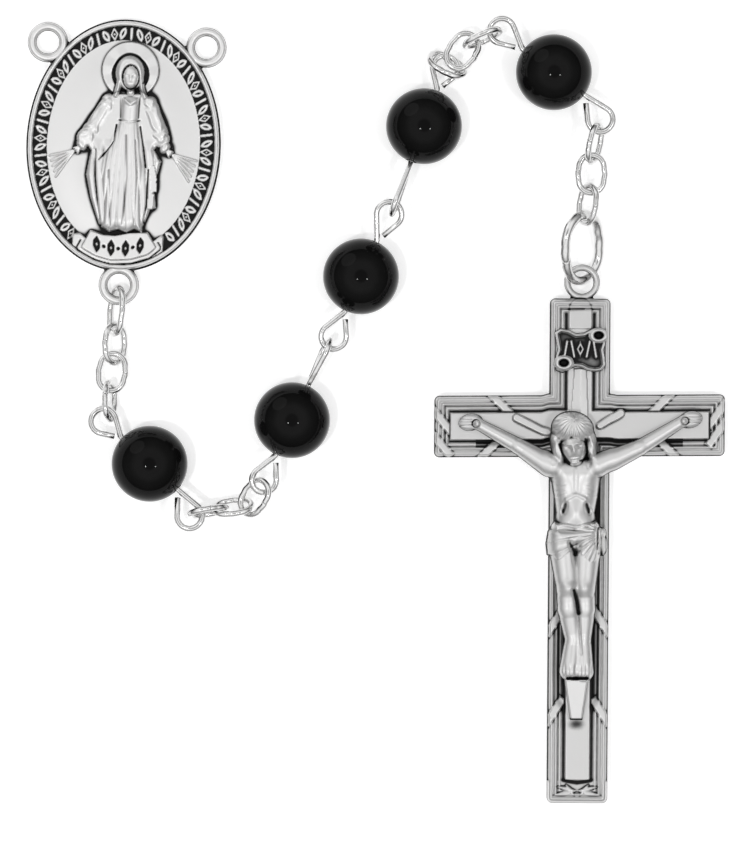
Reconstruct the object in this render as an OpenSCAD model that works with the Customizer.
// Rosary pendant section: centre medal, cable chain, five beads on eye pins,
// jump ring and crucifix, lying flat and face up on the ground plane z = 0.
// Sizes in millimetres. X right, Y up the picture plane, Z up.
// The chain is laid link by link: each wire is hooked into the wire before it,
// so a change of gauge, link length or bead size keeps every pair interlocked.

/* [Beads] */
// bead diameter
bead_d = 6; // [5:0.5:8]
// bore through each bead
bore_d = 0.6; // [0.56:0.02:0.8]

/* [Wire and chain] */
// thickness of the chain and pin wire
wire = 0.5; // [0.4:0.05:0.6]
// outside width of a chain link and of an eye
loop_w = 2.5; // [2.3:0.1:2.8]
// outside length of a chain link
link_l = 3.5; // [3.2:0.1:3.8]
// outside length of the first link, which hooks the medal
first_l = 4.2; // [3.8:0.1:4.6]
// free space left between two hooked wires
play = 0.05; // [0.03:0.01:0.1]
// bend radius where a pin leaves its bead
mouth_bend = 0.4; // [0.35:0.05:0.6]
// gap between the cut end of an eye and its own shank
end_gap = 0.06; // [0.02:0.02:0.2]

/* [Jump ring] */
// outside length of the jump ring
ring_l = 6.2; // [5.8:0.1:6.6]
// outside width of the jump ring
ring_w = 4.7; // [4.5:0.1:5.2]
// thickness of its wire
ring_wire = 0.78; // [0.7:0.02:0.82]

/* [Medal] */
// width of the oval
medal_w = 15.44; // [14:0.1:18]
// height of the oval
medal_h = 20; // [18:0.1:23]
// height of the polished rim above the ground
rim_z = 1.8; // [1.5:0.1:2.4]
// width of the polished rim
rim_w = 0.5; // [0.4:0.05:0.8]
// outer radius of an ear
ear_r = 1.6; // [1.5:0.05:1.9]
// hole radius of an ear
ear_hole_r = 0.9; // [0.8:0.05:1]
// height of an ear
ear_t = 1; // [0.8:0.1:1.2]
// ornaments in the sunken border
ornaments = 34; // [20:2:44]

/* [Crucifix] */
// width over the arms
cross_w = 23.06; // [20:0.5:28]
// height of the cross without its ear
cross_h = 40.05; // [34:0.5:48]
// width of the upright
upright_w = 4.8; // [4:0.1:6]
// height of the arms
arm_w = 4.9; // [4:0.1:6]
// thickness of the cross
cross_t = 2.3; // [2:0.1:3]
// how far the crossing lies below the top end
crossing = 9.98; // [9:0.1:12]
// outer radius of the cross ear
cross_ear_r = 1.42; // [1.4:0.02:1.6]
// hole radius of the cross ear
cross_hole_r = 0.9; // [0.88:0.02:0.95]

/* [Hidden] */
$fn = 48;

bead_r = bead_d / 2;
wire_r = wire / 2;
loop_r = (loop_w - wire) / 2;
mouth = bead_r + 0.1;
medal_at = [-20.06, 21, 0];
medal_turn = -2;
ear_z = 1.1;
ear_mid = (ear_r + ear_hole_r) / 2;
ear_half = (ear_r - ear_hole_r) / 2;
low_ear = [0, -11.1];
high_ear = [6.3, 8];
cross_ear_z = 1.5;
cross_ear_mid = (cross_ear_r + cross_hole_r) / 2;
cross_ear_half = (cross_ear_r - cross_hole_r) / 2;
cross_ear_t = 0.7;
ear_above = 11.27;

// kinds of piece in the lay list
LINK = 0;
PIN = 1;
RING = 2;
CROSS = 3;

// The lay list, from the medal to the crucifix. Each row says how one piece lies:
// kind, heading, pitch, roll, where on its near bend it is hooked, where on its far bend
// the next one hooks, slack, side (-1 when it hangs back over the wire before it),
// near reach, far reach, near turn, far turn, near lean, far lean of its bends.
// The crucifix has no reach: those two numbers set its ear's centre off the ring's wire.
LAY = [
    [LINK, -94.5, 2.5, 62.5, 7, -30, 0.33, 1, (first_l - loop_w) / 2, (first_l - loop_w) / 2, 0, 0, 0, 0],
    [LINK, -92, 4, -44.5, -9, -6, 0.09, 1, (link_l - loop_w) / 2, (link_l - loop_w) / 2, 0, 0, 0, 0],
    [LINK, -97, 8, 0, -1, 11, 0.18, 1, (link_l - loop_w) / 2, (link_l - loop_w) / 2, 0, 0, 0, 0],
    [LINK, -92.5, 21, -70.5, 11, -28, 0.07, 1, (link_l - loop_w) / 2, (link_l - loop_w) / 2, 0, 0, 0, 0],
    [PIN, -42.5, 5, -3, 78, 79, 0.01, 1, 5, 5.25, 0, 0, 0, -10],
    [LINK, 7.5, -17.5, 77, -47, -10, 0.39, 1, (link_l - loop_w) / 2, (link_l - loop_w) / 2, 0, 0, 0, 0],
    [LINK, 7, 0, -60.5, -29, 8, 0.35, 1, (link_l - loop_w) / 2, (link_l - loop_w) / 2, 0, 0, 0, 0],
    [LINK, 54.5, 17, -27.5, 17, 7, 0.3, 1, (link_l - loop_w) / 2, (link_l - loop_w) / 2, 0, 0, 0, 0],
    [PIN, 65, -4, 14.5, 3, 0, 0.34, 1, 5.25, 6, 0, 85, 0, 0],
    [PIN, 65.5, 4, 1.5, 24, -18, 0, 1, 5.25, 5.4, 0, 0, 0, 0],
    [PIN, 70, -7.5, 0, -78, 60, 0, 1, 6.5, 4.95, 85, 0, 0, 0],
    [LINK, -26.5, -1.5, -52.5, 27, -18, 0, -1, (link_l - loop_w) / 2, (link_l - loop_w) / 2, 0, 0, 0, 0],
    [LINK, 55, -4.5, -1, -46, 12, 0.01, 1, (link_l - loop_w) / 2, (link_l - loop_w) / 2, 0, 0, 0, 0],
    [LINK, 25, 9, 75, -6, -21, 0.49, 1, (link_l - loop_w) / 2, (link_l - loop_w) / 2, 0, 0, 0, 0],
    [PIN, -36.5, 0.5, 1, -43, -48, 0.26, 1, 5.25, 5.25, 0, 0, -2, -9],
    [LINK, -101.5, -3.5, -65.5, 16, -1, 0, 1, (link_l - loop_w) / 2, (link_l - loop_w) / 2, 0, 0, 0, 0],
    [LINK, -91, -2, -4, -7, -6, 0, 1, (link_l - loop_w) / 2, (link_l - loop_w) / 2, 0, 0, 0, 0],
    [LINK, -98.5, -4, 54, 2, 0, 0.02, 1, (link_l - loop_w) / 2, (link_l - loop_w) / 2, 0, 0, 0, 0],
    [RING, -85.5, -22, -46, 21, -11, 0, 1, (ring_l - ring_w) / 2, (ring_l - ring_w) / 2, 0, 0, 0, 0],
    [CROSS, -90.4, 0, 0, 0, 0, 0, 1, 0.06, -0.16, 0, 0, 0, 0]
];

function rz(a) = [[cos(a), -sin(a), 0], [sin(a), cos(a), 0], [0, 0, 1]];
function ry(a) = [[cos(a), 0, -sin(a)], [0, 1, 0], [sin(a), 0, cos(a)]];
function rx(a) = [[1, 0, 0], [0, cos(a), -sin(a)], [0, sin(a), cos(a)]];
function attitude(r) = rz(r[1]) * ry(r[2]) * rx(r[3]);
function bend_r(r) = r[0] == RING ? (ring_w - ring_wire) / 2 : r[0] == CROSS ? cross_ear_mid : loop_r;
function half_t(r) = r[0] == RING ? ring_wire / 2 : r[0] == CROSS ? cross_ear_half : wire_r;
function near_turn(r) = rx(r[10]) * rz(r[12]);
function far_turn(r) = rx(r[11]) * rz(r[13]);
function near_n(r) = [-cos(r[4]), sin(r[4]), 0];
function far_n(r) = [cos(r[5]), sin(r[5]), 0];
function near_t(r) = [sin(r[4]), cos(r[4]), 0];
function far_t(r) = [-sin(r[5]), cos(r[5]), 0];
function near_c(r) = near_turn(r) * ([-r[8], 0, 0] + bend_r(r) * near_n(r));
function far_c(r) = far_turn(r) * ([r[9], 0, 0] + bend_r(r) * far_n(r));
function unit(v) = v / norm(v);
// a pin lies with its bead on the ground; the crucifix lies flat, its ear round the ring's wire
function settle(r, o, c) = r[0] == PIN ? [o[0], o[1], bead_r + 0.01] :
    r[0] == CROSS ? [c[0] + r[8], c[1] + r[9], 0] : o;
function chain(i, c, t, n, h) = i == len(LAY) ? [] :
    let (
        r = LAY[i],
        m = attitude(r),
        tb = m * (near_turn(r) * near_t(r)),
        x0 = unit(cross(t, tb)),
        x = x0 * n < 0 ? -x0 : x0,
        cb = c - r[7] * (h + half_t(r) + play + r[6]) * x,
        o = settle(r, cb - m * near_c(r), c)
    )
    concat([[m, o, c, t, o + m * near_c(r), tb]],
        chain(i + 1, o + m * far_c(r), m * (far_turn(r) * far_t(r)), m * (far_turn(r) * far_n(r)), half_t(r)));
first_c = medal_at + rz(medal_turn) * [low_ear[0], low_ear[1] - ear_mid, ear_z];
PLACED = chain(0, first_c, rz(medal_turn) * [1, 0, 0], rz(medal_turn) * [0, -1, 0], ear_half + 0.08);

steel = [0.78, 0.78, 0.8];
pewter = [0.62, 0.62, 0.64];
onyx = [0.05, 0.05, 0.055];

module seat(k) {
    m = PLACED[k][0];
    o = PLACED[k][1];
    multmatrix([[m[0][0], m[0][1], m[0][2], o[0]],
        [m[1][0], m[1][1], m[1][2], o[1]],
        [m[2][0], m[2][1], m[2][2], o[2]],
        [0, 0, 0, 1]]) children();
}

// a hair thicker than the wire, so that neighbouring stretches of wire fuse inside it
module knuckle(p) {
    translate(p)
    sphere(r = wire_r + 0.008, $fn = 32);
}

// straight wire from the origin along x
module rod(l, d) {
    rotate([0, 90, 0])
    cylinder(h = l, d = d);
}

// bent wire: an arc of radius r from angle a0 over a turn of da
module bent(r, a0, da, d) {
    rotate([0, 0, a0])
    rotate_extrude(angle = da)
    translate([r, 0])
    circle(d = d);
}

// closed loop of two half bends and two straight sides
module wire_loop(s, r, d) {
    translate([s, 0, 0])
    bent(r, -90, 180, d);
    translate([-s, 0, 0])
    bent(r, 90, 180, d);
    for (y = [-r, r])
        translate([-s, y, 0])
        rod(2 * s, d);
}

// teardrop eye at the +x end of a pin, leaving the bead at the mouth
module eye(reach, lean) {
    cx = reach * cos(lean) - mouth;
    cy = reach * sin(lean);
    away = sqrt(cx * cx + cy * cy);
    toward = atan2(cy, cx);
    open = asin(loop_r / away);
    leg = sqrt(away * away - loop_r * loop_r);
    turn = toward + open;
    cut = mouth_bend * tan(turn / 2);
    free_end = (wire + end_gap) / sin(2 * open);
    translate([mouth - cut, mouth_bend, 0])
    bent(mouth_bend, -90, turn, wire);
    knuckle([mouth - cut, 0, 0]);
    knuckle([mouth + cut * cos(turn), cut * sin(turn), 0]);
    knuckle([mouth + leg * cos(turn), leg * sin(turn), 0]);
    knuckle([mouth + leg * cos(toward - open), leg * sin(toward - open), 0]);
    translate([mouth, 0, 0])
    rotate([0, 0, turn])
    translate([cut, 0, 0])
    rod(leg - cut, wire);
    translate([mouth + cx, cy, 0])
    bent(loop_r, toward - 90 - open, 180 + 2 * open, wire);
    translate([mouth, 0, 0])
    rotate([0, 0, toward - open])
    translate([free_end, 0, 0])
    rod(leg - free_end, wire);
}

function mouth_cut(reach, lean) =
    let (
        cx = reach * cos(lean) - mouth,
        cy = reach * sin(lean),
        turn = atan2(cy, cx) + asin(loop_r / sqrt(cx * cx + cy * cy))
    )
    mouth_bend * tan(turn / 2);

module pin_wire(r) {
    a = mouth - mouth_cut(r[8], -r[12]);
    b = mouth - mouth_cut(r[9], r[13]);
    translate([-a, 0, 0])
    rod(a + b, wire);
    rotate([r[11], 0, 0])
    eye(r[9], r[13]);
    rotate([r[10], 0, 0])
    rotate([0, 180, 0])
    eye(r[8], -r[12]);
}

module link_wire(k) {
    wire_loop(LAY[k][8], loop_r, wire);
}

module bead_body() {
    difference() {
        sphere(r = bead_r);
        translate([-bead_r - 1, 0, 0])
        rod(bead_d + 2, bore_d);
    }
}

// washer with chamfered edges; its bore wall is a true cylinder
module washer(ro, ri, t, c) {
    rotate_extrude()
    polygon([[ri + c, -t / 2], [ro - c, -t / 2], [ro, c - t / 2], [ro, t / 2 - c],
        [ro - c, t / 2], [ri + c, t / 2], [ri, t / 2 - c], [ri, c - t / 2]]);
}

function oval(a, b) = [for (i = [0:71]) [a * cos(i * 5), b * sin(i * 5)]];

// oval plate from z0 up by t
module oval_plate(inset, z0, t) {
    translate([0, 0, z0])
    linear_extrude(t)
    polygon(oval(medal_w / 2 - inset, medal_h / 2 - inset));
}

// tapering bar of relief from p to q on the medal's field
module ray(p, q, w0, w1, z0, z1) {
    d = q - p;
    l = norm(d);
    a = atan2(d[1], d[0]);
    translate([p[0], p[1], z0])
    rotate([0, 0, a])
    linear_extrude(z1 - z0)
    polygon([[0, -w0 / 2], [l, -w1 / 2], [l, w1 / 2], [0, w0 / 2]]);
}

field_z = 1.45;
band_z = 1.15;
band_in = 1.66;

module medal_figure() {
    // halo
    translate([0.54, 6, field_z])
    difference() {
        cylinder(h = 0.25, r = 2.26);
        translate([0, 0, -1])
        cylinder(h = 2, r = 1.9);
    }
    // mantle, gown and head, one over the other
    translate([0, 0, field_z])
    linear_extrude(0.35)
    polygon([[-0.3, 5.4], [-1.1, 4.2], [-2.2, 2.4], [-3.5, 0.3], [-3.3, -0.9], [-2.9, -2.6], [-3.1, -4.4],
        [-2.7, -6.6], [-1.5, -6.9], [1.8, -6.9], [2.6, -5.8], [3, -3.4], [2.5, -1.2], [3.4, 0.2],
        [2.9, 2.2], [2.3, 4.1], [1.5, 5.4]]);
    translate([0, 0, field_z + 0.35])
    linear_extrude(0.3)
    polygon([[-0.3, 4.2], [-0.5, 1.8], [-1.1, -0.8], [-1.5, -6.7], [1.8, -6.7], [1.7, -1.6], [1.5, 1.8],
        [1.5, 4.2]]);
    translate([0.6, 5.7, field_z + 0.1])
    cylinder(h = 0.55, r1 = 1.25, r2 = 0.95);
    translate([0.6, 5.65, field_z + 0.6])
    cylinder(h = 0.3, r1 = 0.72, r2 = 0.45);
    // hands with their rays
    for (e = [[-3.39, -0.24, -1], [3.36, -0.32, 1]]) {
        translate([e[0], e[1], field_z + 0.05])
        cylinder(h = 0.55, r1 = 0.55, r2 = 0.35);
        for (i = [0:4])
            ray([e[0] + e[2] * 0.3, e[1] - 0.3], [e[0] + e[2] * (2.3 - 0.28 * i), e[1] - 1.1 - 0.42 * i],
                0.1, 0.26, field_z - 0.05, field_z + 0.2);
    }
    // scroll below the feet
    translate([-0.3, -7.55, field_z - 0.3])
    linear_extrude(0.75)
    polygon([[-2.9, 0.5], [2.8, 0.5], [2.5, -0.5], [1.3, -0.85], [-1.3, -0.85], [-2.6, -0.5]]);
    for (i = [-4:4])
        translate([-0.3 + i * 0.52, -7.62, field_z + 0.4])
        cylinder(h = 0.2, r = 0.16);
}

module medal_body() {
    difference() {
        union() {
            oval_plate(0.12, 0, 0.2);
            oval_plate(0, 0.2, rim_z - 0.55);
            oval_plate(0.08, rim_z - 0.35, 0.2);
            oval_plate(0.2, rim_z - 0.15, 0.15);
            for (p = [[-high_ear[0], high_ear[1]], high_ear, low_ear])
                translate([p[0], p[1], ear_z])
                washer(ear_r, ear_hole_r - 0.05, ear_t, 0.25);
        }
        oval_plate(rim_w, band_z, 2);
        for (p = [[-high_ear[0], high_ear[1]], high_ear, low_ear])
            translate([p[0], p[1], -1])
            cylinder(h = 4, r = ear_hole_r);
    }
    oval_plate(band_in, band_z - 0.1, field_z - band_z + 0.1);
    // generic ornament in the sunken border, in place of an inscription
    for (i = [0:ornaments - 1]) {
        a = (i + 0.5) * 360 / ornaments;
        b = atan2((medal_w / 2) * sin(a), (medal_h / 2) * cos(a));
        translate([(medal_w / 2 - 1.08) * cos(a), (medal_h / 2 - 1.08) * sin(a), band_z - 0.05])
        rotate([0, 0, b])
        translate([-0.14, -0.3, 0])
        cube([0.28, 0.6, 0.4]);
    }
    medal_figure();
}

// outline of the cross, drawn in by the inset, with rounded outer corners
function arc_pts(cx, cy, r, a) = [for (i = [0:5]) [cx + r * cos(a + i * 18), cy + r * sin(a + i * 18)]];
function cross_pts(e, r) =
    let (
        u = upright_w / 2 - e,
        h = arm_w / 2 - e,
        w = cross_w / 2 - e,
        t = crossing - e,
        b = crossing - cross_h + e
    )
    concat(
        arc_pts(u - r, t - r, r, 0), arc_pts(-u + r, t - r, r, 90), [[-u, h]],
        arc_pts(-w + r, h - r, r, 90), arc_pts(-w + r, -h + r, r, 180), [[-u, -h]],
        arc_pts(-u + r, b + r, r, 180), arc_pts(u - r, b + r, r, 270), [[u, -h]],
        arc_pts(w - r, -h + r, r, 270), arc_pts(w - r, h - r, r, 0), [[u, h]]);

module cross_slab(e, r, z0, t) {
    translate([0, 0, z0])
    linear_extrude(t)
    polygon(cross_pts(e, r));
}

// moulded cross, its crossing at the origin
module cross_moulding() {
    difference() {
        union() {
            cross_slab(0, 1.1, 0, cross_t - 0.5);
            cross_slab(0.22, 0.95, cross_t - 0.5, 0.3);
            cross_slab(0.42, 0.8, cross_t - 0.2, 0.2);
        }
        // two grooves run round the edge, the panel between them is flat
        difference() {
            cross_slab(0.78, 0.6, cross_t - 0.45, 1);
            cross_slab(1, 0.5, cross_t - 1, 2);
        }
        difference() {
            cross_slab(1.25, 0.4, cross_t - 0.45, 1);
            cross_slab(1.5, 0.3, cross_t - 1, 2);
        }
        cross_slab(1.5, 0.3, cross_t - 0.2, 1);
    }
    // ribbons that cross the mouldings on the slant, each inside the edge of the cross
    for (p = [[-6.35, arm_w / 2 - 0.75, 45], [6.6, arm_w / 2 - 0.75, -45], [-7.2, 0.75 - arm_w / 2, -45],
        [7, 0.75 - arm_w / 2, 45], [0.78 - cross_w / 2, 0.5, 40], [cross_w / 2 - 0.78, 0.9, -35],
        [cross_w / 2 - 0.78, -0.6, -35], [0.75 - upright_w / 2, -15.6, -50], [upright_w / 2 - 0.75, -15.6, 50],
        [0.75 - upright_w / 2, -22.7, -50], [upright_w / 2 - 0.75, -22.7, 50]])
        translate([p[0], p[1], cross_t - 0.3])
        rotate([0, 0, p[2]])
        translate([-0.25, -0.45, 0])
        cube([0.5, 0.9, 0.3]);
}

module cross_plate() {
    difference() {
        union() {
            cross_moulding();
            translate([0.13, ear_above, cross_ear_z])
            washer(cross_ear_r, cross_hole_r - 0.03, cross_ear_t, 0.2);
            translate([-0.85, crossing - 0.7, cross_ear_z - cross_ear_t / 2])
            cube([1.9, 1.1, cross_ear_t]);
        }
        translate([0.13, ear_above, -1])
        cylinder(h = 5, r = cross_hole_r);
    }
}

// one rounded mass of the figure, drawn round a list of balls: x, y, height above the cross, radius
module flesh(balls) {
    hull()
    for (b = balls)
        translate([b[0], b[1], cross_t + b[2]])
        sphere(r = b[3], $fn = 16);
}

module figure() {
    // hands, forearms and upper arms
    flesh([[-8.9, 0.55, 0.25, 0.3], [-8.9, 0.1, 0.25, 0.3], [-8.2, 0.3, 0.4, 0.36]]);
    flesh([[-8.3, 0.25, 0.45, 0.34], [-4.9, -1.65, 0.7, 0.5]]);
    flesh([[-4.9, -1.65, 0.7, 0.5], [-2.5, -3.1, 1, 0.68]]);
    flesh([[9, 0.7, 0.25, 0.3], [9, 0.2, 0.25, 0.3], [8.3, 0.35, 0.4, 0.36]]);
    flesh([[8.4, 0.3, 0.45, 0.34], [4.8, -1.85, 0.7, 0.5]]);
    flesh([[4.8, -1.85, 0.7, 0.5], [1.8, -2.95, 1, 0.68]]);
    // head leaning to its right, with the hair beside it, and neck
    flesh([[-0.55, -0.1, 1.5, 1.25], [-0.8, -1.5, 1.75, 0.85]]);
    flesh([[-1.4, -0.6, 1, 0.95], [0.3, -0.6, 1, 0.95], [-1.6, -2.2, 0.9, 0.6], [0.3, -2.3, 0.9, 0.6]]);
    flesh([[-0.6, -2, 1.1, 0.7], [-0.3, -3.2, 1, 0.85]]);
    // chest, ribs and belly
    flesh([[-2.2, -3.3, 0.95, 0.72], [1.55, -3.2, 0.95, 0.72],
        [-0.95, -4.5, 1.15, 0.95], [0.6, -4.5, 1.15, 0.95]]);
    flesh([[-1.3, -4.5, 1, 0.95], [0.95, -4.5, 1, 0.95],
        [-1.15, -5.9, 0.85, 0.75], [0.75, -5.9, 0.85, 0.75]]);
    flesh([[-0.95, -5.8, 0.6, 0.8], [0.5, -5.8, 0.6, 0.8], [-0.9, -7.6, 0.6, 0.8], [0.5, -7.6, 0.6, 0.8]]);
    // cloth round the hips and its knot
    flesh([[-1, -7.8, 0.75, 0.85], [0.6, -7.8, 0.75, 0.85], [-1.6, -9.2, 0.9, 1], [1.1, -9.2, 0.9, 1]]);
    flesh([[1.5, -8.5, 1, 0.5], [1.75, -9.4, 1, 0.55], [1.6, -10.4, 0.7, 0.4]]);
    // thighs, shins and feet
    flesh([[-1.15, -9.5, 0.9, 1.1], [-0.95, -13, 1.5, 0.8]]);
    flesh([[0.7, -9.5, 0.9, 1.1], [0.4, -13, 1.5, 0.8]]);
    flesh([[-0.95, -13, 1.5, 0.8], [-0.5, -16.7, 0.65, 0.5]]);
    flesh([[0.4, -13, 1.5, 0.8], [0.15, -16.7, 0.65, 0.5]]);
    flesh([[-0.5, -16.7, 0.65, 0.52], [-0.8, -19.3, 0.7, 0.62]]);
    flesh([[0.15, -16.7, 0.65, 0.52], [0.4, -19.3, 0.6, 0.6]]);
    // wedge under the feet
    for (i = [0:2])
        translate([-0.16, -19.6, cross_t + i * 0.3 - 0.1])
        linear_extrude(0.4)
        polygon([[i * 0.1 - 0.9, 0], [0.9 - i * 0.1, 0],
            [0.75 - i * 0.15, i * 0.3 - 3.6], [i * 0.15 - 0.75, i * 0.3 - 3.6]]);
}

module figure_on_cross() {
    intersection() {
        figure();
        translate([-12, -30, cross_t])
        cube([24, 40, 8]);
    }
}

module scroll_plate() {
    z = cross_t;
    translate([0, 0, z])
    linear_extrude(0.5)
    polygon([[-1.9, 7.3], [-1.2, 7.5], [-0.2, 7.2], [1, 7.5], [2, 7.4], [2, 6.6], [1.7, 5.9], [1.8, 5],
        [1.5, 4.3], [0.6, 4.1], [-0.4, 4.4], [-1.4, 4.1], [-2, 4.4], [-1.9, 5.3], [-1.7, 6], [-1.9, 6.7]]);
    for (p = [[1.9, 7.2], [-1.9, 4.5]])
        translate([p[0], p[1], z])
        cylinder(h = 0.75, r = 0.42);
    // generic strokes in place of letters
    for (x = [-1, -0.35, 0.3, 0.95])
        translate([x - 0.1, 5.3, z + 0.4])
        cube([0.22, 1.1, 0.3]);
}

module on_crucifix() {
    k = len(LAY) - 1;
    o = PLACED[k][1];
    translate([o[0], o[1], 0])
    rotate([0, 0, LAY[k][1] + 90])
    translate([-0.13, -ear_above, 0])
    children();
}

module medal() {
    color(pewter)
    translate(medal_at)
    rotate([0, 0, medal_turn])
    medal_body();
}

module link(k) {
    color(steel)
    seat(k)
    link_wire(k);
}

module eye_pin(k) {
    color(steel)
    seat(k)
    pin_wire(LAY[k]);
}

module bead(k) {
    color(onyx)
    seat(k)
    bead_body();
}

module jump_ring() {
    color(steel)
    seat(18)
    wire_loop((ring_l - ring_w) / 2, (ring_w - ring_wire) / 2, ring_wire);
}

module cross_body() {
    color(pewter)
    on_crucifix()
    cross_plate();
}

module corpus() {
    color(pewter)
    on_crucifix()
    figure_on_cross();
}

module title_scroll() {
    color(pewter)
    on_crucifix()
    scroll_plate();
}

medal();
link(0);  // link_01
link(1);  // link_02
link(2);  // link_03
link(3);  // link_04
eye_pin(4);  // eye_pin_1
bead(4);  // bead_1
link(5);  // link_05
link(6);  // link_06
link(7);  // link_07
eye_pin(8);  // eye_pin_2
bead(8);  // bead_2
eye_pin(9);  // eye_pin_3
bead(9);  // bead_3
eye_pin(10);  // eye_pin_4
bead(10);  // bead_4
link(11);  // link_08
link(12);  // link_09
link(13);  // link_10
eye_pin(14);  // eye_pin_5
bead(14);  // bead_5
link(15);  // link_11
link(16);  // link_12
link(17);  // link_13
jump_ring();
cross_body();
corpus();
title_scroll();
